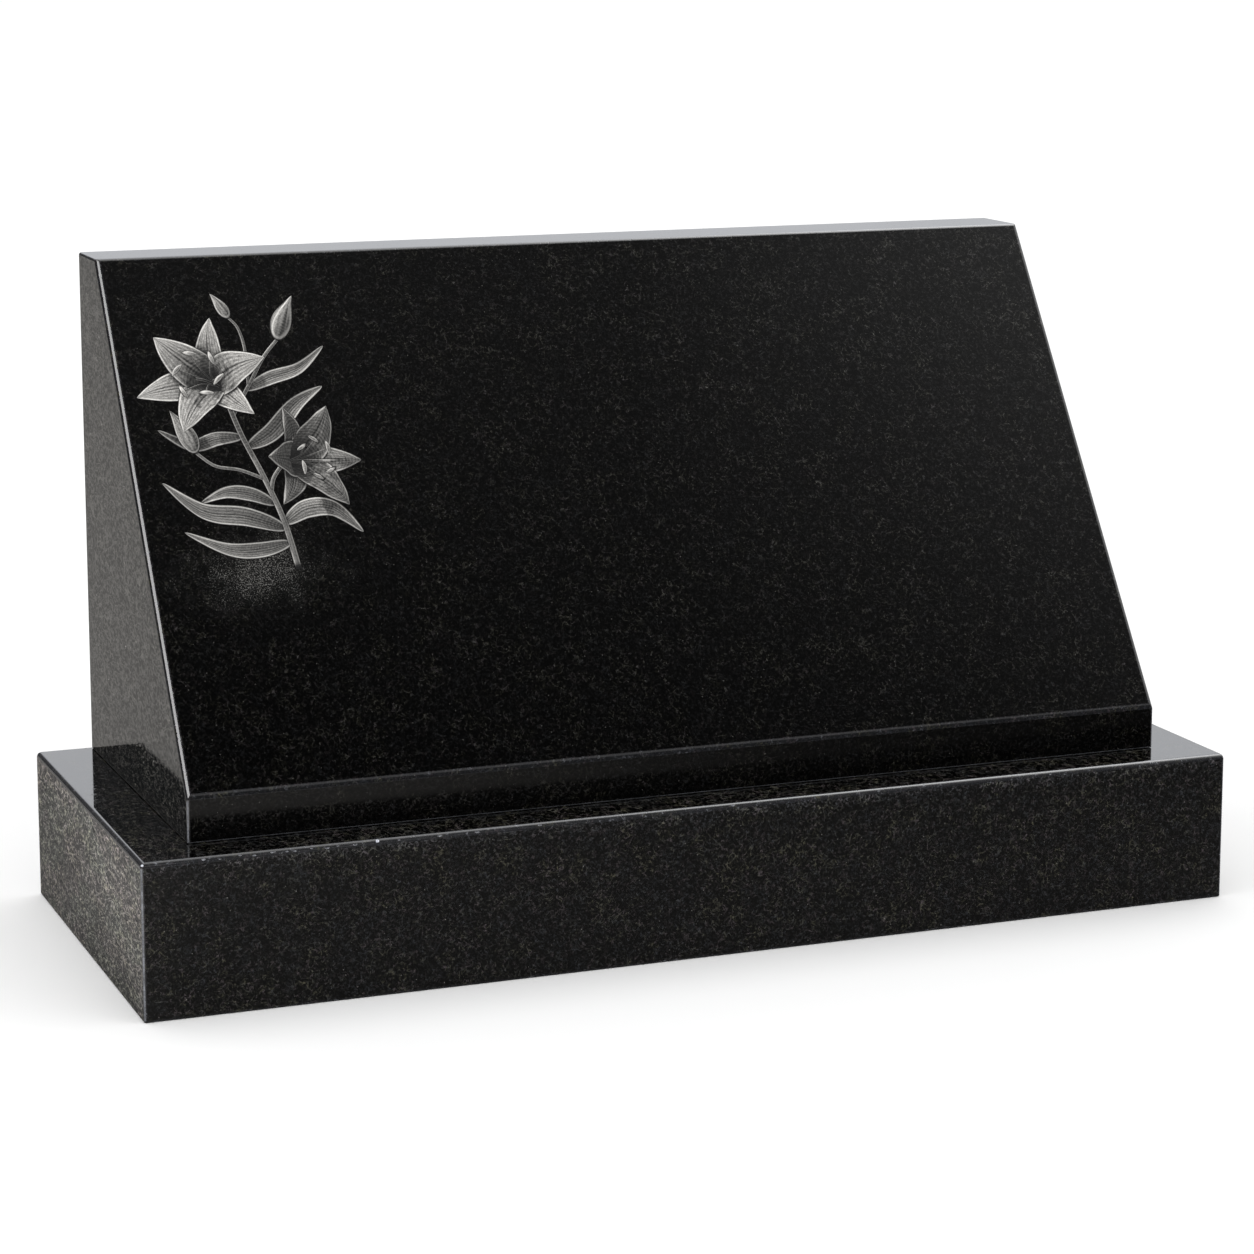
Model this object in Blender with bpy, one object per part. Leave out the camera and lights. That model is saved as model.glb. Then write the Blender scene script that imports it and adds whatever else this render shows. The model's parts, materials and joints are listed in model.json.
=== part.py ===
"""A desk-shaped headstone of black granite: a wedge tablet standing on a flat base.

X runs along the width, -Y is the front that the sloping face looks towards, and +Z is up.
The origin is the middle of the base's underside. Every length is in metres.
"""

import bmesh
import bpy

# The base, a flat slab.
BASE_WIDTH = 0.762
BASE_DEPTH = 0.305
BASE_HEIGHT = 0.102
BASE_ARRIS = 0.003

# The bare ledges that the base leaves round the tablet's foot.
SIDE_LEDGE = 0.038
FRONT_LEDGE = 0.033
BACK_LEDGE = 0.004

# The tablet, a wedge with an upright back, a level top and a short upright nose.
TABLET_HEIGHT = 0.345
TOP_DEPTH = 0.051
NOSE_HEIGHT = 0.030
TABLET_ARRIS = 0.003

# The hairline joint between the tablet's underside and the base.
BED_JOINT = 0.0003

# Each rounded arris is drawn with this many flats.
ARRIS_FLATS = 3


def clear_scene():
    """Empties the scene of whatever it holds."""
    for thing in list(bpy.data.objects):
        bpy.data.objects.remove(thing, do_unlink=True)


def granite(name, colour, roughness):
    """A plain stone finish."""
    finish = bpy.data.materials.new(name)
    finish.use_nodes = True
    shader = finish.node_tree.nodes["Principled BSDF"]
    shader.inputs["Base Color"].default_value = (*colour, 1.0)
    shader.inputs["Roughness"].default_value = roughness
    shader.inputs["Metallic"].default_value = 0.0
    finish.diffuse_color = (*colour, 1.0)
    return finish


def sawn_block(name, outline, width, arris, finish):
    """A block whose side outline, in Y and Z, is carried square across the width, with every arris rounded."""
    block = bmesh.new()
    end = block.faces.new([block.verts.new((-width / 2, y, z)) for y, z in outline])
    carried = bmesh.ops.extrude_face_region(block, geom=[end])["geom"]
    moved = [part for part in carried if isinstance(part, bmesh.types.BMVert)]
    bmesh.ops.translate(block, vec=(width, 0.0, 0.0), verts=moved)
    bmesh.ops.recalc_face_normals(block, faces=block.faces)
    shape = bpy.data.meshes.new(name)
    block.to_mesh(shape)
    block.free()

    stone = bpy.data.objects.new(name, shape)
    bpy.context.scene.collection.objects.link(stone)
    shape.materials.append(finish)
    shape.shade_smooth()
    rounding = stone.modifiers.new("arris", "BEVEL")
    rounding.limit_method = "NONE"
    rounding.width = arris
    rounding.segments = ARRIS_FLATS
    rounding.harden_normals = True
    return stone


def make_base():
    """The flat slab, its underside at the ground."""
    half_depth = BASE_DEPTH / 2
    outline = [
        (-half_depth, 0.0),
        (half_depth, 0.0),
        (half_depth, BASE_HEIGHT),
        (-half_depth, BASE_HEIGHT),
    ]
    finish = granite("base_granite", (0.018, 0.017, 0.016), 0.2)
    return sawn_block("base", outline, BASE_WIDTH, BASE_ARRIS, finish)


def make_tablet():
    """The wedge, measured from the foot of its nose, set on the base inside the ledges."""
    width = BASE_WIDTH - 2 * SIDE_LEDGE
    depth = BASE_DEPTH - FRONT_LEDGE - BACK_LEDGE
    outline = [
        (0.0, 0.0),
        (depth, 0.0),
        (depth, TABLET_HEIGHT),
        (depth - TOP_DEPTH, TABLET_HEIGHT),
        (0.0, NOSE_HEIGHT),
    ]
    finish = granite("tablet_granite", (0.012, 0.012, 0.012), 0.1)
    tablet = sawn_block("tablet", outline, width, TABLET_ARRIS, finish)
    tablet.location = (0.0, FRONT_LEDGE - BASE_DEPTH / 2, BASE_HEIGHT + BED_JOINT)
    return tablet


def main():
    clear_scene()
    make_base()
    make_tablet()


main()
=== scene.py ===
"""The looks of a desk-shaped headstone: two blocks of black granite, and a lily spray etched on the slope.

X runs along the width, -Y is the front that the sloping face looks towards, and +Z is up. Every
length is in metres, except in the lily spray, which is drawn in millimetres on its own picture
plane and then laid on the stone.
"""

import json
import math
import random

import bmesh
import bpy
from bpy.props import FloatProperty, FloatVectorProperty, IntProperty, PointerProperty
from mathutils import Matrix, Vector
from mathutils.bvhtree import BVHTree

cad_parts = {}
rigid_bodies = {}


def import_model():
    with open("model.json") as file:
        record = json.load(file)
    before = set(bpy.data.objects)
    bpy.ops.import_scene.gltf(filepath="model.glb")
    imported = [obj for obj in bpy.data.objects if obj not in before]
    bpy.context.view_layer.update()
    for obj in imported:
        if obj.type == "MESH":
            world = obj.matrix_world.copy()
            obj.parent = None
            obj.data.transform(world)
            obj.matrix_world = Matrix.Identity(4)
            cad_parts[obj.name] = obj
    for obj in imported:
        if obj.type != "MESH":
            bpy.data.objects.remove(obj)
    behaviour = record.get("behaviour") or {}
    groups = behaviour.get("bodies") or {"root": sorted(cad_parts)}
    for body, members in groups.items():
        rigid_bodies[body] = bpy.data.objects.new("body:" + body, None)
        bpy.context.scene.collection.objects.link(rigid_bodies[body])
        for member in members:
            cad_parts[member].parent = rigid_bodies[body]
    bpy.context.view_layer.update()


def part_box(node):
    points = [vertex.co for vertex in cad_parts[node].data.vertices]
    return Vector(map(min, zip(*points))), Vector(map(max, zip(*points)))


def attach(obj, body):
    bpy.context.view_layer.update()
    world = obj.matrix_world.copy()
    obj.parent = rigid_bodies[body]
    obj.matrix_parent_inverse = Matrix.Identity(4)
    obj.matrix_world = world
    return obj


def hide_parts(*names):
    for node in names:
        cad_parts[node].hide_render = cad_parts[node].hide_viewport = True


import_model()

bl_info = {
    "name": "Desk headstone",
    "version": (1, 0, 0),
    "blender": (4, 5, 0),
    "location": "3D View > Sidebar > Headstone",
    "description": "Models a desk-shaped granite headstone with an etched lily spray, and lights it",
    "category": "Add Mesh",
}

BODY = "root"
MILLIMETRE = 0.001
BASE_LOW, BASE_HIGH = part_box("base")
TABLET_LOW, TABLET_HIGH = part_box("tablet")


# Sizes, colours and the stage that a user would change

class HeadstoneSizes(bpy.types.PropertyGroup):
    """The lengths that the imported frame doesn't give."""

    base_arris: FloatProperty(
        name="Base arris", description="Radius of the base's rounded edges",
        default=0.0034, min=0.0005, max=0.01, unit="LENGTH")
    tablet_arris: FloatProperty(
        name="Tablet arris", description="Radius of the tablet's rounded edges",
        default=0.0034, min=0.0005, max=0.01, unit="LENGTH")
    corner_radius: FloatProperty(
        name="Corner radius", description="Radius of the upright corners",
        default=0.002, min=0.0002, max=0.01, unit="LENGTH")
    top_arris: FloatProperty(
        name="Top arris", description="Radius of the edges round the tablet's top",
        default=0.002, min=0.0002, max=0.01, unit="LENGTH")
    nose_arris: FloatProperty(
        name="Nose arris", description="Radius of the shallow edge where the nose meets the sloping face",
        default=0.0022, min=0.0002, max=0.01, unit="LENGTH")
    base_foot_arris: FloatProperty(
        name="Base foot arris", description="Radius of the edges round the base's foot",
        default=0.0015, min=0.0002, max=0.01, unit="LENGTH")
    foot_arris: FloatProperty(
        name="Foot arris", description="Radius of the edges round the tablet's foot",
        default=0.0009, min=0.0002, max=0.01, unit="LENGTH")
    arris_flats: IntProperty(
        name="Arris flats", description="Flats that each rounded edge is drawn with",
        default=7, min=2, max=16)
    top_depth: FloatProperty(
        name="Top depth", description="Depth of the tablet's level top, from back to front",
        default=0.051, min=0.01, max=0.2, unit="LENGTH")
    nose_height: FloatProperty(
        name="Nose height", description="Height of the tablet's upright nose, from its foot",
        default=0.030, min=0.01, max=0.2, unit="LENGTH")
    spray_in: FloatProperty(
        name="Spray from the left", description="From the sloping face's left edge to the spray's middle",
        default=0.082, unit="LENGTH")
    spray_up: FloatProperty(
        name="Spray up the slope", description="From the nose to the spray's middle, along the slope",
        default=0.250, unit="LENGTH")
    spray_scale: FloatProperty(
        name="Spray scale", description="Size of the etched spray against its drawing of 130 by 204 mm",
        default=1.0, min=0.3, max=1.5)


class HeadstoneColours(bpy.types.PropertyGroup):
    """The colours of the stone and of the etching."""

    ground: FloatVectorProperty(
        name="Ground", description="The black of the stone between its grains",
        default=(0.0004, 0.0004, 0.0004), subtype="COLOR", size=3)
    warm_grain: FloatVectorProperty(
        name="Warm grain", description="The olive grains", default=(0.0172, 0.0160, 0.0086),
        subtype="COLOR", size=3)
    cool_grain: FloatVectorProperty(
        name="Cool grain", description="The grey grains", default=(0.0122, 0.0131, 0.0158),
        subtype="COLOR", size=3)
    mauve_grain: FloatVectorProperty(
        name="Mauve grain", description="The faintly pink grains", default=(0.0168, 0.0131, 0.0142),
        subtype="COLOR", size=3)
    grey_grain: FloatVectorProperty(
        name="Grey grain", description="The grains as a rough finish shows them",
        default=(0.0152, 0.0146, 0.0130), subtype="COLOR", size=3)
    glint: FloatVectorProperty(
        name="Glint", description="The few bright crystals", default=(0.100, 0.096, 0.088),
        subtype="COLOR", size=3)
    # Besides worn edges and chips, this colour paints highlights on corners and the tablet's foot, a glint,
    # and a sheen along the base's upper edge.
    bruise_and_highlight: FloatVectorProperty(
        name="Bruised stone", description="The paler stone of a worn edge or a chip",
        default=(0.153, 0.158, 0.176), subtype="COLOR", size=3)
    etching: FloatVectorProperty(
        name="Etching", description="The etched stone where it is lightest", default=(0.80, 0.78, 0.745),
        subtype="COLOR", size=3)


class HeadstoneStage(bpy.types.PropertyGroup):
    """The camera and the lights."""

    camera_place: FloatVectorProperty(
        name="Camera place", description="Where the camera stands", default=(-0.8592, -2.1977, 0.6925),
        subtype="TRANSLATION", size=3)
    camera_azimuth: FloatProperty(
        name="Camera azimuth", description="Turn of the camera to the right of the front",
        default=math.radians(-21.31), subtype="ANGLE")
    camera_elevation: FloatProperty(
        name="Camera elevation", description="How far the camera looks down", default=math.radians(9.964),
        subtype="ANGLE")
    lens: FloatProperty(
        name="Lens", description="Focal length on a 36 mm sensor, in millimetres", default=100.875)
    shift: FloatProperty(
        name="Lens shift", description="Upright shift, as a share of the frame", default=-0.10)
    daylight: FloatProperty(
        name="Daylight", description="Strength of the even white light all round", default=1.25, min=0.0)
    key_power: FloatProperty(
        name="Key light", description="Power of the soft light at the front right", default=4.0, min=0.0,
        unit="POWER")
    edge_power: FloatProperty(
        name="Edge light", description="Power of the soft light at the left that the rounded edges mirror",
        default=112.0, min=0.0, unit="POWER")
    fill_power: FloatProperty(
        name="Left fill", description="Power of the soft light on the left of the floor and on the ends",
        default=4.0, min=0.0, unit="POWER")


def sizes():
    return bpy.context.scene.headstone_sizes


def colours():
    return bpy.context.scene.headstone_colours


def stage_settings():
    return bpy.context.scene.headstone_stage


# Modelling helpers

def deselect_all():
    """Leaves nothing selected, because an operator acts on all that is."""
    for thing in bpy.context.view_layer.objects:
        thing.select_set(False)
    bpy.context.view_layer.objects.active = None


def make_active(thing):
    deselect_all()
    thing.select_set(True)
    bpy.context.view_layer.objects.active = thing


def settle(piece):
    """Moves a piece's place into its mesh, so that its object sits at the origin."""
    make_active(piece)
    bpy.ops.object.transform_apply(location=True, rotation=True, scale=True)


def apply_modifiers(piece):
    make_active(piece)
    for modifier in list(piece.modifiers):
        bpy.ops.object.modifier_apply(modifier=modifier.name)


def added(name):
    """The object that a primitive operator has just made, renamed."""
    piece = bpy.context.view_layer.objects.active
    piece.name = name
    piece.data.name = name
    return piece


def joined(pieces, name):
    """Several pieces as one, renamed."""
    deselect_all()
    for piece in pieces:
        piece.select_set(True)
    bpy.context.view_layer.objects.active = pieces[0]
    bpy.ops.object.join()
    return added(name)


# Node boards

class Board:
    """A node tree with short calls that add a node and join it up."""

    def __init__(self, tree):
        self.tree = tree
        self.tree.nodes.clear()

    def add(self, kind, inputs=None, **settings):
        node = self.tree.nodes.new(kind)
        for name, value in settings.items():
            setattr(node, name, value)
        for name, value in (inputs or {}).items():
            self.feed(node.inputs[name], value)
        return node

    def feed(self, socket, value):
        """Joins a socket to another, or sets its own value."""
        if isinstance(value, bpy.types.NodeSocket):
            self.tree.links.new(value, socket)
        elif hasattr(value, "__len__") and socket.type == "RGBA":
            socket.default_value = (*value[:3], 1.0)
        else:
            socket.default_value = value

    def math(self, operation, *values, clamp=False):
        node = self.add("ShaderNodeMath", operation=operation, use_clamp=clamp)
        for socket, value in zip(node.inputs, values):
            self.feed(socket, value)
        return node.outputs[0]

    def vector(self, operation, *values, scale=None, out="Vector"):
        node = self.add("ShaderNodeVectorMath", operation=operation)
        for socket, value in zip(node.inputs, values):
            self.feed(socket, value)
        if scale is not None:
            self.feed(node.inputs["Scale"], scale)
        return node.outputs[out]

    def ramp(self, value, start, end, low=0.0, high=1.0):
        """A smooth step: low at start, high at end, and level beyond both."""
        node = self.add("ShaderNodeMapRange", interpolation_type="SMOOTHSTEP")
        for name, given in (("Value", value), ("From Min", start), ("From Max", end), ("To Min", low),
                            ("To Max", high)):
            self.feed(node.inputs[name], given)
        return node.outputs["Result"]

    def product(self, first, *others):
        for value in others:
            first = self.math("MULTIPLY", first, value)
        return first

    def beyond(self, value, start):
        """How far a value is past a start, and nothing before it."""
        return self.math("MAXIMUM", self.math("SUBTRACT", value, start), 0.0)

    def blend(self, factor, a, b):
        node = self.add("ShaderNodeMix", {"Factor": factor}, data_type="RGBA", clamp_result=False)
        self.feed(node.inputs[6], a)
        self.feed(node.inputs[7], b)
        return node.outputs[2]

    def noise(self, place, scale, detail=2.0, roughness=0.5, out="Fac"):
        inputs = {"Vector": place, "Scale": scale, "Detail": detail, "Roughness": roughness}
        return self.add("ShaderNodeTexNoise", inputs).outputs[out]

    def cells(self, place, scale):
        """A Voronoi pattern: its outputs, then the three channels of each cell's own colour."""
        outputs = self.add("ShaderNodeTexVoronoi", {"Vector": place, "Scale": scale}).outputs
        return outputs, self.add("ShaderNodeSeparateColor", {"Color": outputs["Color"]}).outputs

    def parts(self, vector):
        return self.add("ShaderNodeSeparateXYZ", {"Vector": vector}).outputs

    def object_place(self):
        return self.add("ShaderNodeTexCoord").outputs["Object"]

    def attribute(self, name, out="Fac"):
        return self.add("ShaderNodeAttribute", attribute_name=name).outputs[out]

    def bump(self, height, distance):
        bump = self.add("ShaderNodeBump", {"Height": height, "Strength": 1.0, "Distance": distance})
        return bump.outputs["Normal"]

    def surface(self, colour, roughness, more=None):
        """Finishes a material whose other settings are the shader's own, or are named in more."""
        inputs = {"Base Color": colour, "Roughness": roughness, "IOR": 1.5, **(more or {})}
        shader = self.add("ShaderNodeBsdfPrincipled", inputs)
        self.add("ShaderNodeOutputMaterial", {"Surface": shader.outputs["BSDF"]})


def new_material(name):
    material = bpy.data.materials.new(name)
    material.use_nodes = True
    return material, Board(material.node_tree)


# Granite

BENDS_PER_METRE = 420.0
BEND_REACH = 0.0030
PATCHES_PER_METRE = 62.0
CRYSTALS_PER_METRE = 780.0
NEEDLES_PER_METRE = 330.0
NEEDLE_RADIUS = 0.00050
NEEDLE_REACH = 0.0021
LONG_STRANDS_PER_METRE = 215.0
SHORT_STRANDS_PER_METRE = 330.0
GLINTS_PER_METRE = 240.0


def needles(board, place):
    """Slender crystals, one to a cell and each turned its own way, as the face cuts through them."""
    cell, channels = board.cells(place, NEEDLES_PER_METRE)
    local = board.vector("SUBTRACT", place, cell["Position"])
    turned = board.vector("NORMALIZE", board.vector("SUBTRACT", cell["Color"], (0.5, 0.5, 0.5)))
    along = board.vector("DOT_PRODUCT", local, turned, out="Value")
    beside = board.vector("SUBTRACT", local, board.vector("SCALE", turned, scale=along))
    slim = board.ramp(board.vector("LENGTH", beside, out="Value"), NEEDLE_RADIUS, NEEDLE_RADIUS * 0.35)
    short = board.ramp(board.math("ABSOLUTE", along), NEEDLE_REACH, NEEDLE_REACH * 0.6)
    return board.product(slim, short), channels


def threads(board, place, per_metre, width, mask_level):
    """Thin curved strands: the level lines of a noise, broken into short arcs by another."""
    level = board.noise(place, per_metre, detail=0.0)
    from_line = board.math("ABSOLUTE", board.math("SUBTRACT", level, 0.5))
    line = board.ramp(from_line, width, width * 0.25)
    gate = board.noise(place, per_metre * 0.8, detail=1.0)
    return board.product(line, board.ramp(gate, mask_level, mask_level + 0.06))


def granite_colour(board, place, grain_strength, ground_strength=1.0, greyness=0.0, crowding=0.0):
    """The stone's colour, and the pattern of its grains for the finish to follow.

    A rough finish scatters more light from grains and ground alike, hides most of their tint, and shows the
    strands crowded closer together.
    """
    tint = colours()
    wander = board.vector("SUBTRACT", board.noise(place, BENDS_PER_METRE, 1.0, out="Color"), (0.5, 0.5, 0.5))
    bent = board.vector("ADD", place, board.vector("SCALE", wander, scale=BEND_REACH))
    patches = board.noise(place, PATCHES_PER_METRE, 2.0, 0.65)
    patches = board.ramp(patches, 0.36, 0.66, 0.45 + 0.40 * crowding, 1.15)

    _, crystal = board.cells(bent, CRYSTALS_PER_METRE)
    sparkle = crystal["Red"]
    crystal_light = board.math("POWER", sparkle, 2.2)
    crowded = board.product(board.math("SUBTRACT", patches, 0.75), 1.3)
    warm_share = board.math("ADD", board.product(crystal["Green"], 0.7), crowded, clamp=True)

    needle, turn = needles(board, bent)
    needle_light = board.product(needle, board.math("POWER", turn["Red"], 1.6))
    mauve_share = board.ramp(turn["Green"], 0.62, 0.82)
    moved = board.vector("ADD", place, (0.37, 0.21, 0.53))
    strands = board.math("MAXIMUM",
                         threads(board, place, LONG_STRANDS_PER_METRE, 0.060, 0.47 - 0.12 * crowding),
                         threads(board, moved, SHORT_STRANDS_PER_METRE, 0.080, 0.49 - 0.12 * crowding))
    strands = board.product(strands, board.math("MULTIPLY_ADD", sparkle, 1.2, 0.25))

    cell, channels = board.cells(place, GLINTS_PER_METRE)
    rare = board.ramp(channels["Blue"], 0.50, 0.95)
    glint = board.product(rare, board.ramp(cell["Distance"], 0.115, 0.05))

    strokes = board.product(board.math("MULTIPLY_ADD", strands, 0.68, needle_light), patches)
    grains = board.math("MULTIPLY_ADD", crystal_light, 0.40, strokes)
    grains = board.math("MAXIMUM", board.math("MULTIPLY_ADD", grains, 1.45, -0.10), 0.0)
    grain_tint = board.blend(warm_share, tint.cool_grain, tint.warm_grain)
    grain_tint = board.blend(mauve_share, grain_tint, tint.mauve_grain)
    grain_tint = board.blend(greyness, grain_tint, tint.grey_grain)
    ground = tuple(channel * ground_strength for channel in tint.ground)
    colour = board.vector("MULTIPLY_ADD", grain_tint, board.product(grains, grain_strength), ground)
    glint = board.product(glint, math.sqrt(grain_strength))
    return board.vector("MULTIPLY_ADD", tuple(tint.glint), glint, colour), grains


FOOT_SHADE_HEIGHT = 0.075
SHEEN_DEPTH = 0.012
MATT_GRAINS = 0.10


def granite(name, grain_strength, roughness, relief=None, relief_scale=900.0, cloud=False, squeeze=None,
            mirror=0.5, ground_strength=1.0, greyness=0.0, crowding=0.0, weathering_and_foot_shade=0.0, top_sheen=0.0,
            glitter=0.0):
    """Black granite with one finish.

    The settings are how light its grains are, how rough it is, how deep and fine its tooling stands,
    whether the etching's cloud lies on it, how its grains are drawn out (less than 1 is longer), how
    strongly it mirrors, how light its ground is, how far its tints are lost, how closely its strands
    crowd, how far it darkens in broad soft patches, which also brings painted shade towards the foot,
    how much paler a painted sheen makes it along the base's upper edge, and how much more a grain
    mirrors than the ground.
    """
    material, board = new_material(name)
    place = board.object_place()
    if squeeze:
        place = board.vector("MULTIPLY", place, squeeze)
    colour, grains = granite_colour(board, place, grain_strength, ground_strength, greyness, crowding)
    if weathering_and_foot_shade or top_sheen:
        height = board.parts(place)["Z"]
    if weathering_and_foot_shade:
        stain = board.ramp(board.noise(place, 16.0), 0.38, 0.62, 1.0 - weathering_and_foot_shade, 1.0 + weathering_and_foot_shade)
        gap = board.ramp(board.noise(place, 230.0, 2.0, 0.6), 0.26, 0.42, 0.30, 1.0)
        blush = board.blend(board.ramp(board.noise(place, 40.0), 0.40, 0.60),
                            (0.98, 1.0, 0.965), (1.04, 0.985, 0.99))
        colour = board.vector("MULTIPLY", colour, blush)
        colour = board.vector("SCALE", colour, scale=board.product(stain, gap))
        # Painted shade: darker towards the foot, near the floor.
        colour = board.vector("SCALE", colour, scale=board.ramp(height, 0.0, FOOT_SHADE_HEIGHT, 0.62, 1.0))
    # Painted sheen: paler towards the base's upper edge, most on the grains.
    if top_sheen:
        painted_sheen = board.ramp(height, BASE_HIGH.z - SHEEN_DEPTH, BASE_HIGH.z, 0.0, top_sheen)
        painted_sheen = board.product(painted_sheen, board.math("MULTIPLY_ADD", grains, 2.0, 0.1))
        colour = board.vector("MULTIPLY_ADD", tuple(colours().bruise_and_highlight), painted_sheen, colour)
    if cloud:
        colour = stipple_cloud(board, place, colour)
    rough = board.math("MULTIPLY_ADD", grains, MATT_GRAINS, roughness, clamp=True)
    if glitter:
        mirror = board.math("MULTIPLY_ADD", grains, glitter * mirror, mirror * (1 - 0.3 * glitter))
    more = {"Specular IOR Level": mirror}
    if relief:
        more["Normal"] = board.bump(board.noise(place, relief_scale, 2.0, 0.7), relief)
    board.surface(colour, rough, more)
    return material


def worn_granite(name, paleness, haze, roughness):
    """The polished rounding of an edge, with pinpricks and pale bruises where crystals have come away.

    The haze is the share of the bruised colour that lies over the whole of it.
    """
    material, board = new_material(name)
    place = board.object_place()
    colour, _ = granite_colour(board, place, 1.0)
    bruised = board.ramp(board.noise(place, 240.0, 3.0, 0.7), 0.56, 0.70)
    speck = board.ramp(board.noise(place, 1100.0, 1.0, 0.6), 0.42, 0.62)
    bruise_and_highlight = board.math("MULTIPLY", board.product(bruised, speck), paleness, clamp=True)
    colour = board.vector("MULTIPLY_ADD", tuple(colours().bruise_and_highlight), (haze, haze, haze), colour)
    colour = board.blend(bruise_and_highlight, colour, colours().bruise_and_highlight)
    rough = board.math("MULTIPLY_ADD", bruised, 0.14, roughness)
    pits = board.ramp(board.noise(place, 420.0, 2.0, 0.6), 0.26, 0.42)
    board.surface(colour, rough, {"Normal": board.bump(pits, 0.00004)})
    return material


def bruise_and_painted_light(name, lightness, roughness):
    """The paler, duller stone of a chip, also used for painted highlights, a painted glint and, nearly black,
    painted shade in the joint.
    """
    material, board = new_material(name)
    place = board.object_place()
    wear = board.ramp(board.noise(place, 160.0, 4.0, 0.7), 0.30, 0.66, 0.45, 1.0)
    speck = board.ramp(board.noise(place, 900.0, 2.0, 0.7), 0.35, 0.65, 0.7, 1.25)
    pale = board.vector("SCALE", tuple(colours().bruise_and_highlight), scale=board.product(wear, speck))
    board.surface(board.vector("SCALE", pale, scale=lightness), roughness)
    return material


CLOUD_REACH = (0.074, 0.040, 0.040)
CLOUD_BELOW_SPRAY = 0.100
CLOUD_TO_LEFT = 0.010
DOTS_PER_METRE = 1450.0


def stipple_cloud(board, place, colour):
    """Fine etched dots that thin out round the foot of the spray, on the sloping face only."""
    size = sizes()
    middle = slope_foot() + slope_up() * (size.spray_up - CLOUD_BELOW_SPRAY)
    middle.x = TABLET_LOW.x + size.spray_in - CLOUD_TO_LEFT
    away = board.vector("SUBTRACT", place, tuple(middle))
    squashed = board.vector("MULTIPLY", away, tuple(1 / reach for reach in CLOUD_REACH))
    distance = board.vector("LENGTH", squashed, out="Value")
    uneven = board.product(board.math("SUBTRACT", board.noise(place, 45.0, 3.0, 0.6), 0.5), 1.3)
    density = board.ramp(board.math("ADD", distance, uneven), 1.15, 0.0)
    limit = board.math("MULTIPLY_ADD", density, -0.20, 0.74)
    lit = board.ramp(board.math("SUBTRACT", board.noise(place, DOTS_PER_METRE, 1.0), limit), 0.0, 0.08)
    lit = board.product(lit, board.math("MULTIPLY_ADD", density, 0.12, 0.02), board.ramp(density, 0.0, 0.15))
    lit = board.math("MULTIPLY_ADD", board.product(density, density), 0.010, lit)
    return board.blend(lit, colour, colours().etching)


# The two stones

FACE_SLOT = 0
SIDE_SLOT = 1
ARRIS_SLOT = 2
END_SLOT = 3
WORN_AND_HIGHLIGHT_SLOT = 4
BARE_STONE_AND_HIGHLIGHT_SLOT = 5
SHADE_SLOT = 6
STONE_SLOTS = (FACE_SLOT, SIDE_SLOT, END_SLOT)


def sawn_block(name, low, high):
    """A square block between two corners."""
    deselect_all()
    middle = (low + high) / 2
    bpy.ops.mesh.primitive_cube_add(size=1.0, location=middle, scale=high - low)
    block = added(name)
    settle(block)
    return block


def round_arrises(block, radius, foot_radius, top_radius):
    """Rounds every edge, with radii of their own round the foot, the top, the corners and the nose."""
    make_active(block)
    bpy.ops.object.shade_smooth()
    mesh = block.data
    foot = min(vertex.co.z for vertex in mesh.vertices) + MILLIMETRE
    top = max(vertex.co.z for vertex in mesh.vertices) - MILLIMETRE
    weights = mesh.attributes.new("bevel_weight_edge", "FLOAT", "EDGE")
    for number, edge in enumerate(mesh.edges):
        one, other = (mesh.vertices[corner].co for corner in edge.vertices)
        own = radius
        if one.z < foot and other.z < foot:
            own = foot_radius
        elif one.z > top and other.z > top:
            own = top_radius
        elif abs(one.x - other.x) + abs(one.y - other.y) < MILLIMETRE:
            own = sizes().corner_radius
        elif abs(one.z - other.z) < MILLIMETRE:
            own = sizes().nose_arris
        weights.data[number].value = own / radius
    rounding = block.modifiers.new("arris", "BEVEL")
    rounding.limit_method = "WEIGHT"
    rounding.width = radius
    rounding.segments = sizes().arris_flats
    rounding.material = ARRIS_SLOT
    level = block.modifiers.new("level faces", "WEIGHTED_NORMAL")
    level.weight = 100
    apply_modifiers(block)


CHIPPED_ALONG = (-0.341, -0.331, -0.318, -0.309, -0.297, -0.288, -0.283, -0.272, -0.262, -0.255,
                 -0.244, -0.229, -0.215, -0.188, -0.163, -0.121, 0.013, 0.118, 0.246)
CHIP_SIZES = (0.0005, 0.0010)
CHIP_TURNS = (22.0, 44.0)
CHIP_STRETCH = 2.2
NICK = -0.229
NICK_SIZE = 0.0016
NICK_TURN = 50.0
GLINT_REACH = 0.0026


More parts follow.
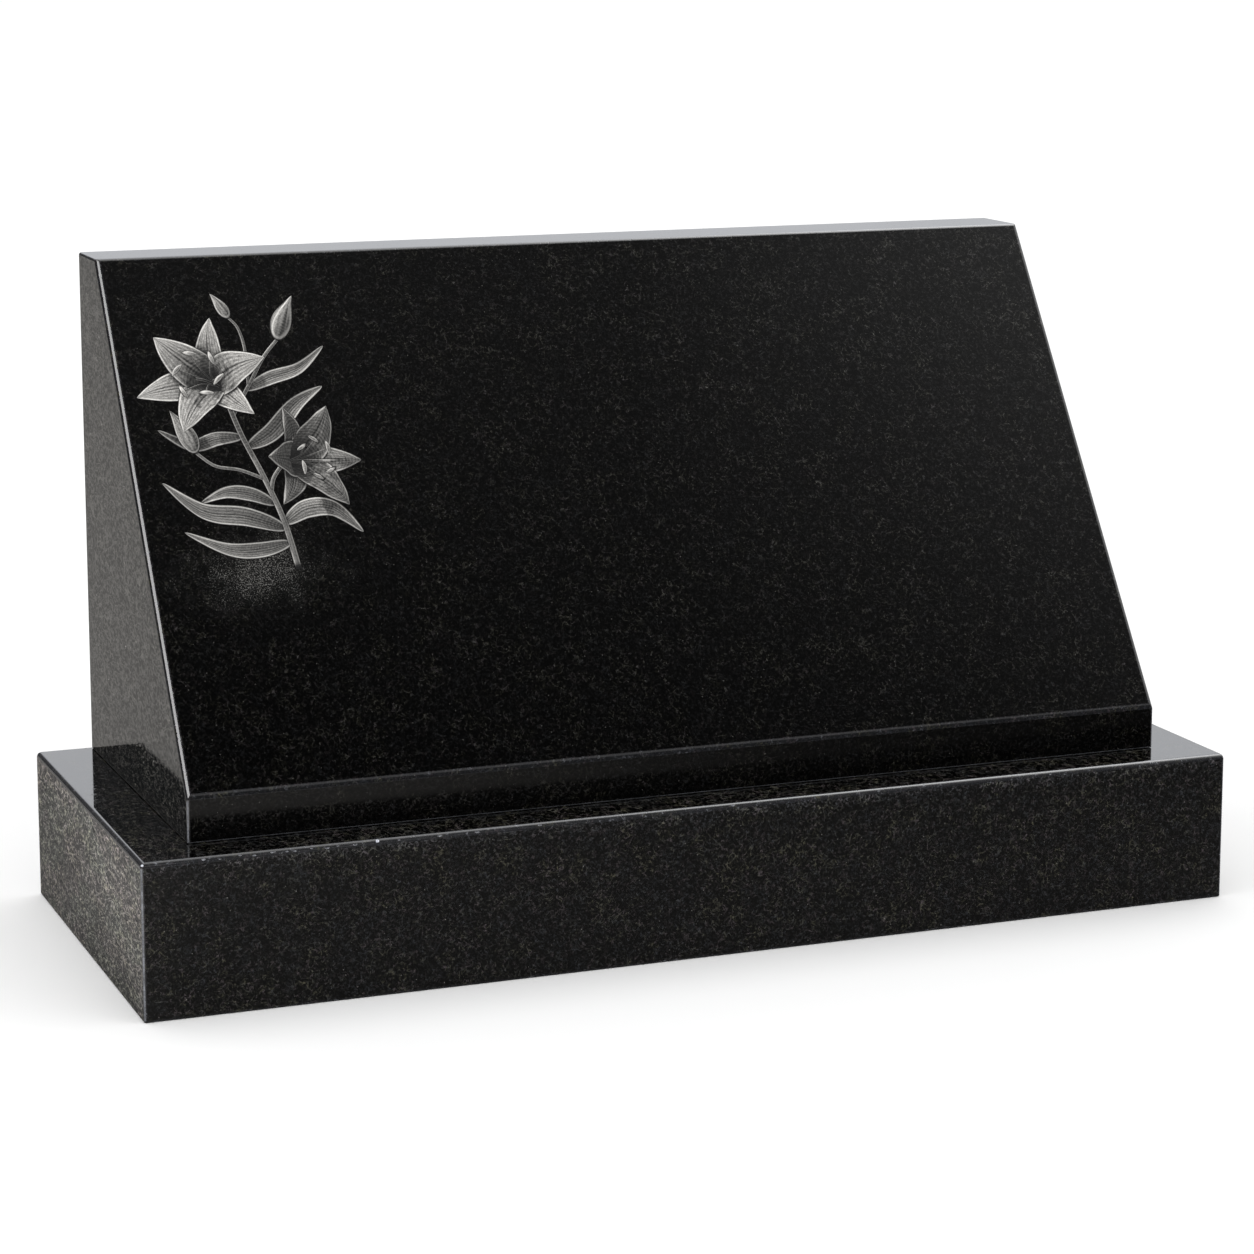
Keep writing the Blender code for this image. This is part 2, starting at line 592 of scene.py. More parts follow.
def chip_front_edge(base):
    """Breaks small chips out of the base's upper front edge, most of them towards the left."""
    dice = random.Random(5)
    radius = sizes().base_arris
    tools = []
    for along in CHIPPED_ALONG:
        nick = along == NICK
        size = NICK_SIZE if nick else dice.uniform(*CHIP_SIZES)
        turn = math.radians(NICK_TURN if nick else dice.uniform(*CHIP_TURNS))
        out = Vector((0.0, -math.cos(turn), math.sin(turn)))
        rim = Vector((along, BASE_LOW.y + radius, BASE_HIGH.z - radius)) + out * (radius + 0.45 * size)
        deselect_all()
        bpy.ops.mesh.primitive_ico_sphere_add(subdivisions=2, radius=size, location=rim)
        tool = bpy.context.view_layer.objects.active
        for finish in base.data.materials:
            tool.data.materials.append(finish)
        for vertex in tool.data.vertices:
            vertex.co *= dice.uniform(0.80, 1.12)
            vertex.co.x *= 1.0 if nick else CHIP_STRETCH
        for face in tool.data.polygons:
            face.material_index = BARE_STONE_AND_HIGHLIGHT_SLOT if nick else WORN_AND_HIGHLIGHT_SLOT
        settle(tool)
        tools.append(tool)
    tool = joined(tools, "chip_tool")
    cut = base.modifiers.new("chips", "BOOLEAN")
    cut.operation = "DIFFERENCE"
    cut.solver = "EXACT"
    cut.object = tool
    apply_modifiers(base)
    bpy.data.objects.remove(tool, do_unlink=True)


def paint_corner_glint(base):
    """Paints a glint on the rounded corner at the upper front left, in the pale slot of bare stone."""
    corner = Vector((BASE_LOW.x, BASE_LOW.y, BASE_HIGH.z))
    for face in base.data.polygons:
        if face.material_index in (ARRIS_SLOT, WORN_AND_HIGHLIGHT_SLOT) and (face.center - corner).length < GLINT_REACH:
            face.material_index = BARE_STONE_AND_HIGHLIGHT_SLOT


def paint_foot_highlight_and_shade(tablet):
    """Gives the rounding round the foot its own slots: a painted highlight along the nose, painted shade at
    the sides and back.
    """
    foot = TABLET_LOW.z + sizes().foot_arris
    for face in tablet.data.polygons:
        if face.material_index == ARRIS_SLOT and face.center.z < foot:
            face.material_index = BARE_STONE_AND_HIGHLIGHT_SLOT if face.normal.y < -0.3 else SHADE_SLOT


def paint_corner_highlights(block):
    """Gives the middle flat of each upright corner a pale slot, as a painted highlight down the corner."""
    for face in block.data.polygons:
        if face.material_index == ARRIS_SLOT and abs(face.normal.z) < 0.02:
            if abs(abs(face.normal.x) - abs(face.normal.y)) < 0.35:
                face.material_index = WORN_AND_HIGHLIGHT_SLOT


def paint_faces(block, slot, wanted):
    """Gives a slot to each broad face for which wanted(normal) is true."""
    for face in block.data.polygons:
        if face.material_index in STONE_SLOTS and wanted(face.normal):
            face.material_index = slot


def hand_over(piece, slot, *nodes):
    """Ties a piece to its body and hides the CAD nodes that it stands for. The slot is not used."""
    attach(piece, BODY)
    if nodes:
        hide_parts(*nodes)


class HEADSTONE_OT_base(bpy.types.Operator):
    """Models the flat base, polished on top and honed round its sides."""

    bl_idname = "headstone.base"
    bl_label = "Base"

    def execute(self, context):
        base = sawn_block("granite_base", BASE_LOW, BASE_HIGH)
        for finish in (
                granite("polished_base", 2.1, 0.04, squeeze=(0.7, 0.42, 1.0), crowding=0.4, greyness=0.5),
                # The honed sides carry a painted sheen along the base's upper edge.
                granite("honed_base", 1.35, 0.34, 0.00016, top_sheen=0.09),
                worn_granite("base_arris", 0.8, 0.08, 0.13),
                # Painted light: both ends get a ground and grains far lighter than the front's, for the light
                # that the left end catches.
                granite("tooled_ends_painted_light", 9.5, 0.60, 0.0006, 300.0, squeeze=(1.0, 0.44, 1.0), mirror=0.2,
                        ground_strength=95.0, greyness=0.7, crowding=1.0, weathering_and_foot_shade=0.20),
                # Pale stone for the chips, and a painted highlight down the upright corners.
                bruise_and_painted_light("chips_and_corner_highlight", 1.1, 0.4),
                # Bare stone for the nick, and a painted glint on the upper front left corner.
                bruise_and_painted_light("bare_stone_and_glint", 4.0, 0.4)):
            base.data.materials.append(finish)
        round_arrises(base, sizes().base_arris, sizes().base_foot_arris, sizes().base_arris)
        paint_corner_highlights(base)
        paint_corner_glint(base)
        chip_front_edge(base)
        paint_faces(base, SIDE_SLOT, lambda normal: normal.z < 0.5)
        paint_faces(base, END_SLOT, lambda normal: abs(normal.x) > 0.9)
        hand_over(base, "base_granite", "base")
        return {"FINISHED"}


class HEADSTONE_OT_tablet(bpy.types.Operator):
    """Models the wedge tablet: a block with its upper front sliced off along the slope."""

    bl_idname = "headstone.tablet"
    bl_label = "Tablet"

    def execute(self, context):
        tablet = sawn_block("granite_tablet", TABLET_LOW, TABLET_HIGH)
        for finish in (
                granite("polished_tablet", 0.40, 0.04, cloud=True, greyness=0.35, glitter=0.5),
                granite("polished_ends", 2.1, 0.04, 0.00003, 420.0, squeeze=(0.9, 0.42, 0.9),
                        greyness=0.8, crowding=0.6, glitter=2.4),
                worn_granite("tablet_arris", 0.4, 0.045, 0.08),
                granite("polished_back", 0.40, 0.04, greyness=0.35, glitter=0.5),
                # A painted highlight down the upright corners.
                bruise_and_painted_light("painted_corner_highlight", 1.2, 0.4),
                # A painted highlight along the nose's foot, and painted shade in the joint at the sides and
                # back.
                bruise_and_painted_light("painted_joint_highlight", 0.42, 0.5),
                bruise_and_painted_light("joint_shade", 0.01, 0.8)):
            tablet.data.materials.append(finish)
        bpy.ops.object.mode_set(mode="EDIT")
        bpy.ops.mesh.select_all(action="SELECT")
        bpy.ops.mesh.bisect(plane_co=slope_foot(), plane_no=slope_normal(), use_fill=True, clear_outer=True)
        bpy.ops.object.mode_set(mode="OBJECT")
        round_arrises(tablet, sizes().tablet_arris, sizes().foot_arris, sizes().top_arris)
        paint_corner_highlights(tablet)
        paint_foot_highlight_and_shade(tablet)
        paint_faces(tablet, SIDE_SLOT, lambda normal: abs(normal.x) > 0.9)
        paint_faces(tablet, END_SLOT, lambda normal: normal.y > 0.9)
        hand_over(tablet, "tablet_granite", "tablet")
        return {"FINISHED"}


# The sloping face's own directions

def slope_foot():
    """The middle of the line where the nose meets the sloping face."""
    return Vector((0.0, TABLET_LOW.y, TABLET_LOW.z + sizes().nose_height))


def slope_up():
    head = Vector((0.0, TABLET_HIGH.y - sizes().top_depth, TABLET_HIGH.z))
    return (head - slope_foot()).normalized()


def slope_normal():
    return Vector((1.0, 0.0, 0.0)).cross(slope_up())


# The lily spray, drawn as a solid plant in millimetres: x to the right, y up, z out of the picture

PETAL_COUNT = 6
TOWARDS_VIEWER = Vector((0.0, 0.0, 1.0))


def curve_through(points, t):
    """A point on a smooth curve through a list of points, with t from 0 to 1."""
    spans = len(points) - 1
    place = min(t * spans, spans - 1e-6)
    index = int(place)
    f = place - index
    before = points[max(index - 1, 0)]
    start = points[index]
    end = points[index + 1]
    after = points[min(index + 2, spans)]
    cubic = 3 * (start - end) + after - before
    square = 2 * before - 5 * start + 4 * end - after
    return start + 0.5 * f * (end - before + f * (square + f * cubic))


def ribbon_axes(points, t, facing):
    """The directions across a ribbon that follows the points and faces the given way, and out of it."""
    step = 0.01
    ahead = curve_through(points, min(t + step, 1.0)) - curve_through(points, max(t - step, 0.0))
    across = ahead.cross(facing).normalized()
    out = across.cross(ahead.normalized())
    return across, -out if out.z < 0 else out


def axes_of(axis, roll):
    """Three directions at right angles: two across a flower and one along its axis."""
    forward = Vector(axis).normalized()
    side = Vector((0.0, 1.0, 0.0)).cross(forward).normalized()
    up = forward.cross(side)
    turn = Matrix.Rotation(roll, 3, forward)
    return turn @ side, turn @ up, forward


class Bloom:
    """An open lily: where its throat is, which way it looks, and how long its petals are."""

    def __init__(self, throat, axis, roll, length, spread, seed):
        self.throat = Vector(throat)
        self.side, self.up, self.forward = axes_of(axis, roll)
        self.length = length
        self.spread = spread
        self.dice = random.Random(seed)

    def outward(self, angle):
        return math.cos(angle) * self.side + math.sin(angle) * self.up

    def petal(self, number):
        """The surface of one petal, from its root in the throat to its turned-back tip."""
        inner = number % 2 == 0
        angle = math.tau * number / PETAL_COUNT + self.dice.uniform(-0.07, 0.07)
        length = self.length * self.dice.uniform(0.95, 1.05)
        half = length * (0.215 if inner else 0.165)
        start = math.radians(14.0 if inner else 17.0)
        end = math.radians(self.spread + self.dice.uniform(-8.0, 8.0))
        ruffle = self.dice.uniform(0.0, math.tau)
        sway = self.dice.uniform(-0.10, 0.10)
        setback = 0.0 if inner else -0.035 * length
        out = self.outward(angle)
        around = self.forward.cross(out)
        steps = 60
        walk = [(0.0, 0.0)]
        for step in range(steps):
            lean = start + (end - start) * ((step + 0.5) / steps) ** 1.25
            r, z = walk[-1]
            walk.append((r + math.sin(lean) * length / steps, z + math.cos(lean) * length / steps))

        def surface(t, s):
            place = min(t * steps, steps - 1e-6)
            index = int(place)
            f = place - index
            r = walk[index][0] * (1 - f) + walk[index + 1][0] * f
            z = walk[index][1] * (1 - f) + walk[index + 1][1] * f
            lean = start + (end - start) * t ** 1.25
            inward = -math.cos(lean) * out + math.sin(lean) * self.forward
            width = half * (0.20 * (1 - t) + math.sin(math.pi * t ** 0.86) ** 0.80)
            cup = 0.55 * (1 - t) ** 1.2 - 0.28 * t
            wave = 0.11 * math.sin(math.tau * 2.6 * t + ruffle + (1.9 if s > 0 else 0.0)) * t
            groove = -0.05 * math.exp(-(s / 0.12) ** 2)
            lift = width * (cup * s * s + wave * abs(s) ** 3 + groove)
            middle = self.throat + r * out + (z + setback) * self.forward
            middle = middle + around * (sway * length * t * t)
            return middle + around * (s * width) + inward * lift, width

        return surface

    def petals(self):
        return [self.petal(number) for number in range(PETAL_COUNT)]

    def stamen_ends(self):
        """Root, bend and head of each stamen, and of the longer style in their midst."""
        ends = []
        for number in range(PETAL_COUNT):
            angle = math.tau * (number + 0.5) / PETAL_COUNT + self.dice.uniform(-0.15, 0.15)
            out = self.outward(angle)
            root = self.throat + 0.05 * self.length * self.forward
            reach = self.length * self.dice.uniform(0.58, 0.66)
            bend = root + reach * 0.55 * self.forward + reach * 0.12 * out
            head = root + reach * 0.98 * self.forward + reach * 0.40 * out
            ends.append((root, bend, head, out))
        return ends

    def style_points(self):
        root = self.throat + 0.05 * self.length * self.forward
        tip = root + 0.74 * self.length * self.forward - 0.10 * self.length * self.up
        return [root, (root + tip) / 2 + 0.02 * self.length * self.up, tip]


def tube(points, thick, taper=0.8):
    """The near half of a round stem."""
    def surface(t, s):
        across, out = ribbon_axes(points, t, TOWARDS_VIEWER)
        half = thick * (1 + (taper - 1) * t)
        turn = s * math.pi / 2
        return curve_through(points, t) + half * (math.sin(turn) * across + math.cos(turn) * out), half
    return surface


def leaf(points, half, fold, twist=0.0):
    """A long pointed leaf, folded along its midrib and turned a little along its length."""
    def surface(t, s):
        facing = Vector((math.sin(twist * t), 0.25, math.cos(twist * t))).normalized()
        across, out = ribbon_axes(points, t, facing)
        width = half * (math.sin(math.pi * t ** 0.80) ** 0.75 + 0.10 * (1 - t))
        wave = 0.10 * math.sin(math.tau * 1.7 * t + (0.8 if s > 0 else 0.0)) * s * s
        lift = width * (fold * abs(s) + wave)
        return curve_through(points, t) + across * (s * width) + out * lift, width
    return surface


def bud(foot, tip, thick, roll):
    """A closed bud: a spindle with three ribs, of which the near side shows."""
    foot = Vector(foot)
    tip = Vector(tip)
    side, up, forward = axes_of(tip - foot, roll)
    length = (tip - foot).length

    def surface(t, s):
        turn = s * math.pi
        swell = math.sin(math.pi * t ** 0.75) ** 0.85 * (1 - 0.25 * t) + 0.16 * (1 - t)
        rib = 1.0 + 0.13 * math.cos(3 * turn) * math.sin(math.pi * t)
        half = thick * swell * rib
        bow = 0.06 * length * math.sin(math.pi * t)
        middle = foot + forward * (length * t) + up * bow
        return middle + half * (math.cos(turn) * side + math.sin(turn) * up), thick * swell
    return surface


def anther(head, out, forward, length):
    """The pollen sac across a stamen's head: a short fat spindle."""
    along = (out * 0.45 + forward.cross(out) * 0.9).normalized()
    side, up, _ = axes_of(along, 0.0)

    def surface(t, s):
        turn = s * math.pi
        half = length * 0.17 * math.sin(math.pi * (0.04 + 0.92 * t)) ** 0.6
        middle = head + along * (length * (t - 0.5)) - forward * (length * 0.35 * (t - 0.5) ** 2)
        return middle + half * (math.cos(turn) * side + math.sin(turn) * up), half
    return surface


def spray():
    """Every surface of the spray: its piece, its form, its rows and columns, and whether it closes round."""
    upper = Bloom((-13.0, 33.0, -14.0), (-0.34, 0.26, 0.90), 0.28, 64.0, 104.0, 11)
    lower = Bloom((20.0, -24.0, -12.0), (0.62, 0.04, 0.78), 0.95, 58.0, 100.0, 23)
    forms = []
    for name, bloom in (("etched_upper_bloom", upper), ("etched_lower_bloom", lower)):
        for petal in bloom.petals():
            forms.append((name, petal, 54, 18, False))
    for name, bloom in (("etched_upper_stamens", upper), ("etched_lower_stamens", lower)):
        for root, bend, head, out in bloom.stamen_ends():
            forms.append((name, tube([root, bend, head], 0.55, 0.8), 18, 6, False))
            forms.append((name, anther(head, out, bloom.forward, 0.17 * bloom.length), 10, 10, True))
        forms.append((name, tube(bloom.style_points(), 0.9, 1.1), 18, 6, False))

    for thick, *points in (
            (2.1, (17, -101, -26), (13, -66, -24), (5, -34, -22), (-5, -2, -22), (-11, 26, -18)),
            (1.5, (8, -46, -23), (11, -36, -20), (17, -28, -15), (21, -24, -12)),
            (1.25, (6, -36, -22), (-10, -28, -18), (-26, -24, -15), (-37, -14, -14)),
            (1.35, (-8, 12, -24), (8, 36, -26), (20, 54, -22), (31, 66, -18)),
            (1.05, (6, 34, -26), (8, 60, -26), (6, 76, -22), (1, 84, -20))):
        points = [Vector(point) for point in points]
        forms.append(("etched_stems", tube(points, thick, 0.85), 60, 8, False))

    for foot, tip, thick, roll in (((-37, -14, -14), (-50, 18, -8), 6.4, 0.4),
                                   ((31, 66, -18), (47, 99, -10), 7.0, 1.3),
                                   ((1, 84, -20), (-9, 103, -16), 4.4, 0.2)):
        forms.append(("etched_buds", bud(foot, tip, thick, roll), 36, 32, True))

    for half, fold, twist, *points in (
            (7.2, 0.30, 0.5, (13, -72, -25), (-12, -62, -12), (-40, -56, -8), (-63, -34, -14)),
            (7.0, -0.28, -0.4, (13, -68, -25), (30, -58, -14), (48, -60, -8), (65, -78, -12)),
            (5.8, 0.26, 0.3, (15, -82, -26), (-6, -86, -14), (-28, -84, -8), (-54, -70, -10)),
            (5.4, 0.30, -0.4, (9, -54, -24), (-6, -46, -16), (-22, -44, -12), (-40, -50, -14)),
            (6.4, 0.30, 0.5, (-2, -12, -24), (16, -2, -22), (36, 18, -20), (56, 30, -18)),
            (5.4, -0.28, -0.5, (-4, -4, -24), (-22, -4, -22), (-40, -8, -20), (-60, 4, -16)),
            (5.2, 0.26, 0.4, (4, 30, -27), (22, 38, -26), (42, 44, -24), (62, 60, -20))):
        points = [Vector(point) for point in points]
        forms.append(("etched_leaves", leaf(points, half, fold, twist), 46, 10, False))
    return forms


def place_form(form, rows, columns, closed):
    """A grid of quads whose corners are moved to a form's surface, with its strokes and its edge distance."""
    spine = [form(row / rows, 0.0)[0] for row in range(rows + 1)]
    length = sum((end - start).length for start, end in zip(spine, spine[1:]))
    deselect_all()
    bpy.ops.mesh.primitive_grid_add(x_subdivisions=columns, y_subdivisions=rows, size=1.0)
    sheet = bpy.context.view_layer.objects.active
    mesh = sheet.data
    mesh.attributes.new("rim", "FLOAT", "POINT")
    mesh.attributes.new("strokes", "FLOAT_VECTOR", "POINT")
    rim = mesh.attributes["rim"].data
    strokes = mesh.attributes["strokes"].data
    for number, vertex in enumerate(mesh.vertices):
        t = min(max(vertex.co.y + 0.5, 0.0), 1.0)
        s = min(max(vertex.co.x * 2, -1.0), 1.0)
        point, width = form(t, s)
        vertex.co = point
        rim[number].value = (1 - abs(s)) * width
        strokes[number].vector = (s, t * length, width)
    mesh.update()
    if closed:
        for number, vertex in enumerate(mesh.vertices):
            from_outline = 1 - math.sqrt(max(1 - vertex.normal.z ** 2, 0.0))
            rim[number].value = from_outline * strokes[number].vector.z
    return sheet


def grow_pieces():
    """The spray's pieces as solid forms in millimetres, each with its forms joined into one mesh."""
    pieces = {}
    for name, form, rows, columns, closed in spray():
        pieces.setdefault(name, []).append(place_form(form, rows, columns, closed))
    return {name: joined(sheets, name) for name, sheets in pieces.items()}


SUN = Vector((-0.50, 0.55, 0.67)).normalized()
SKY_RAYS = 14
SKY_REACH = 22.0
SUN_REACH = 60.0
VIEW_REACH = 200.0
CLEAR_OF_SURFACE = 0.35
CLEAR_OF_NEIGHBOURS = 0.9
STALK_FADES = (-106.0, -88.0)


def smooth_step(value, start, end):
    f = min(max((value - start) / (end - start), 0.0), 1.0)
    return f * f * (3 - 2 * f)


def sky_directions():
    """Directions spread evenly over the upper half of a ball, by the golden angle."""
    directions = []
    for number in range(SKY_RAYS):
        z = math.sqrt((number + 0.5) / SKY_RAYS)
        ring = math.sqrt(1 - z * z)
        turn = number * math.pi * (3 - math.sqrt(5))
        directions.append(Vector((ring * math.cos(turn), ring * math.sin(turn), z)))
    return directions


def shade(pieces):
    """Stores each point's tone, as an etcher would shade it, how far it fades and whether it is hidden."""
    corners = []
    faces = []
    for piece in pieces.values():
        first = len(corners)
        corners.extend(vertex.co.copy() for vertex in piece.data.vertices)
        faces.extend([first + index for index in face.vertices] for face in piece.data.polygons)
    solid = BVHTree.FromPolygons(corners, faces)
    sky = sky_directions()
    for piece in pieces.values():
        mesh = piece.data
        for name in ("tone", "hidden", "fade"):
            mesh.attributes.new(name, "FLOAT", "POINT")
        tone, hidden, fade = (mesh.attributes[name].data for name in ("tone", "hidden", "fade"))
        for number, vertex in enumerate(mesh.vertices):
            normal = vertex.normal.copy()
            if normal.dot(TOWARDS_VIEWER) < 0:
                normal = -normal
            start = vertex.co + normal * CLEAR_OF_SURFACE
            to_world = normal.to_track_quat("Z", "Y")
            open_sky = 0.0
            for direction in sky:
                if solid.ray_cast(start, to_world @ direction, SKY_REACH)[0] is None:
                    open_sky += 1.0 / SKY_RAYS
            sunny = max(normal.dot(SUN), 0.0)
            if sunny > 0 and solid.ray_cast(start, SUN, SUN_REACH)[0] is not None:
                sunny *= 0.5
            turned_away = 1 - abs(normal.z)
            tone[number].value = open_sky ** 1.5 * (0.26 + 0.80 * sunny + 0.16 * turned_away ** 3)
            fade[number].value = smooth_step(vertex.co.y, *STALK_FADES)
            raised = vertex.co + TOWARDS_VIEWER * CLEAR_OF_NEIGHBOURS
            over = solid.ray_cast(raised, TOWARDS_VIEWER, VIEW_REACH)[0]
            hidden[number].value = 0.0 if over is None else 1.0


def drop_hidden(piece):
    """Deletes the faces that nothing of the picture shows, and turns the rest to face the viewer."""
    shape = bmesh.new()
    shape.from_mesh(piece.data)
    hidden = shape.verts.layers.float["hidden"]
    covered = [face for face in shape.faces if all(corner[hidden] > 0.5 for corner in face.verts)]
    bmesh.ops.delete(shape, geom=covered, context="FACES")
    for face in shape.faces:
        face.normal_update()
    folds = [edge for edge in shape.edges
             if len(edge.link_faces) == 2 and edge.link_faces[0].normal.z * edge.link_faces[1].normal.z < 0]
    bmesh.ops.split_edges(shape, edges=folds)
    turned = [face for face in shape.faces if face.normal.z < 0]
    bmesh.ops.reverse_faces(shape, faces=turned)
    shape.to_mesh(piece.data)
    shape.free()


RELIEF = 0.00026
ETCH_DEPTH = 0.00012
LEAST_RISE = 0.00003
RUNG_SPACING = 2.5
FRECKLES_PER_METRE = 400.0
WAVERS_PER_METRE = 160.0
STIPPLES_PER_METRE = 1500.0
ETCHED_BLACK = (0.004, 0.004, 0.004)


def lay_on_slope(piece, deepest, nearest):
    """Presses a piece almost flat on the slope, nearer parts a hair higher, and gives it a thickness."""
    size = sizes()
    up = slope_up()
    normal = slope_normal()
    middle = slope_foot() + up * size.spray_up
    middle.x = TABLET_LOW.x + size.spray_in
    scale = size.spray_scale * MILLIMETRE
    rise = RELIEF / (nearest - deepest)
    for vertex in piece.data.vertices:
        x, y, z = vertex.co
        height = LEAST_RISE + (z - deepest) * rise
        vertex.co = middle + Vector((x * scale, 0.0, 0.0)) + up * (y * scale) + normal * height
    body = piece.modifiers.new("thickness", "SOLIDIFY")
    body.thickness = ETCH_DEPTH
    body.offset = -1.0
    apply_modifiers(piece)


def etched(name, veins, vein_strength, gain, freckled=False):
    """Frosted stone: the drawing's tone, worked with strokes along and across the form, and an outline."""
    material, board = new_material(name)
    tone, fade, rim = (board.attribute(stored) for stored in ("tone", "fade", "rim"))
    strokes = board.attribute("strokes", "Vector")
    place = board.object_place()
    across, along, width = board.parts(strokes)
    dark = board.ramp(tone, 0.80, 0.25)

    waver = board.math("SUBTRACT", board.noise(place, WAVERS_PER_METRE), 0.5)
    lane = board.product(board.math("MULTIPLY_ADD", waver, 0.16, across), veins * math.pi)
    broken = board.noise(board.vector("MULTIPLY", strokes, (5.0, 0.20, 0.0)), 1.0)
    broken = board.ramp(broken, 0.30, 0.62)
    hatch = board.product(board.math("COSINE", lane), broken, vein_strength)

    bowed = board.product(board.product(across, across), board.product(width, 0.5))
    rung = board.math("ADD", board.math("ADD", along, bowed), board.product(waver, 2.5))
    rung = board.math("COSINE", board.product(rung, math.tau / RUNG_SPACING))
    rung = board.product(rung, dark, 0.42)

    beside = board.math("ABSOLUTE", across)
    groove = board.product(board.ramp(beside, 0.03, 0.09), board.ramp(beside, 0.22, 0.10))
    soft = board.math("ADD", board.math("MULTIPLY_ADD", groove, -0.45, 1.0), hatch)
    soft = board.math("ADD", soft, rung)
    if freckled:
        cell, _ = board.cells(place, FRECKLES_PER_METRE)
        freckle = board.product(board.ramp(cell["Distance"], 0.36, 0.22), board.ramp(along, 30.0, 16.0))
        soft = board.product(soft, board.math("MULTIPLY_ADD", freckle, -0.70, 1.0))

    stipple = board.noise(place, STIPPLES_PER_METRE, 2.0, 0.7)
    grain = board.ramp(stipple, 0.30, 0.70, 0.55, 1.45)
    worked = board.product(board.math("POWER", tone, 1.7), gain, soft, grain)

    fine = board.math("MINIMUM", board.product(width, 0.35), 1.0)
    edge = board.math("DIVIDE", rim, board.math("MAXIMUM", fine, 0.01))
    outline = board.product(board.ramp(edge, 0.45, 0.75), board.ramp(edge, 1.8, 1.1),
                            board.math("MULTIPLY_ADD", tone, 0.34, 0.08))
    worked = board.product(board.math("ADD", worked, outline), board.ramp(edge, 0.20, 0.50))
    worn = board.ramp(board.math("SUBTRACT", board.product(fade, 1.6), stipple), 0.0, 0.5)
    light = board.math("MINIMUM", board.product(worked, worn), 1.0)

    colour = board.blend(light, ETCHED_BLACK, colours().etching)
    board.surface(colour, 0.7, {"Specular IOR Level": 0.12, "Normal": board.bump(stipple, 0.00003)})
    return material


class HEADSTONE_OT_spray(bpy.types.Operator):
    """Models the lily spray and presses it flat on the sloping face as an etching."""

    bl_idname = "headstone.spray"
    bl_label = "Etched lily spray"

    def execute(self, context):
        pieces = grow_pieces()
        shade(pieces)
        depths = [vertex.co.z for piece in pieces.values() for vertex in piece.data.vertices]
        petal = etched("etched_petal", 9.0, 0.44, 0.40, freckled=True)
        bud_finish = etched("etched_bud", 11.0, 0.44, 0.36)
        green = etched("etched_leaf", 7.0, 0.55, 0.25)
        stalk = etched("etched_stalk", 4.0, 0.20, 0.30)
        stamen = etched("etched_stamen", 2.0, 0.10, 0.40)
        finishes = {"bloom": petal, "buds": bud_finish, "leaves": green, "stems": stalk, "stamens": stamen}
        for name, piece in pieces.items():
            piece.data.materials.clear()
            piece.data.materials.append(finishes[name.split("_")[-1]])
            drop_hidden(piece)
            lay_on_slope(piece, min(depths), max(depths))
            hand_over(piece, "etching")
        return {"FINISHED"}


# The stage

# The walls of the room that the stone mirrors: where they start to lighten towards the back and
# towards the right, by a direction's own x and y, and how light they get.
BACK_WALL_FROM_Y = -0.56
RIGHT_WALL_FROM_X = 0.36
RIGHT_WALL_FROM_Y = -0.58
BRIGHTEST_WALL = 1.5

# The rest of the room, and the floor that the stone mirrors. Each row says where a change of tone
# starts and where it ends, and the tone at both where these aren't 0 and 1. The room's rows go by a
# direction's own x, y and z, and the floor's go by metres.
ROOM_FROM_LEFT = (-0.12, 0.04, 0.08, 1.0)
CEILING_FROM_FRONT = (-0.25, 0.10)
CEILING_FROM_FOOT = (0.50, 0.70)
CEILING_FROM_LEFT = (0.26, 0.48, 1.5, 5.5)
BAND_FROM_BACK = (-0.60, -0.70)
BAND_FROM_FOOT = (0.35, 0.45)
BAND_FROM_HEAD = (0.72, 0.62, 0.0, 0.7)
BAND_FROM_RIGHT = (0.42, 0.26, 0.0, 0.02)
FLOOR_FROM_FRONT = (-0.2, 0.5, 0.12, 0.30)
FLOOR_TO_FRONT = (-0.42, -0.50, 1.0, 0.2)
FLOOR_TO_FRONT_RIGHT = (0.92, 1.16, 1.0, 0.08)
STRIP_FROM_RIGHT = (-0.34, -0.50, 0.0, 0.9)
STRIP_FROM_BACK = (0.45, -0.05)
FORE_FROM_BACK = (-0.544, -0.557)
FORE_FROM_RIGHT = (0.40, -0.25, 0.04, 0.27)
WHITE_BACKGROUND = 1.02


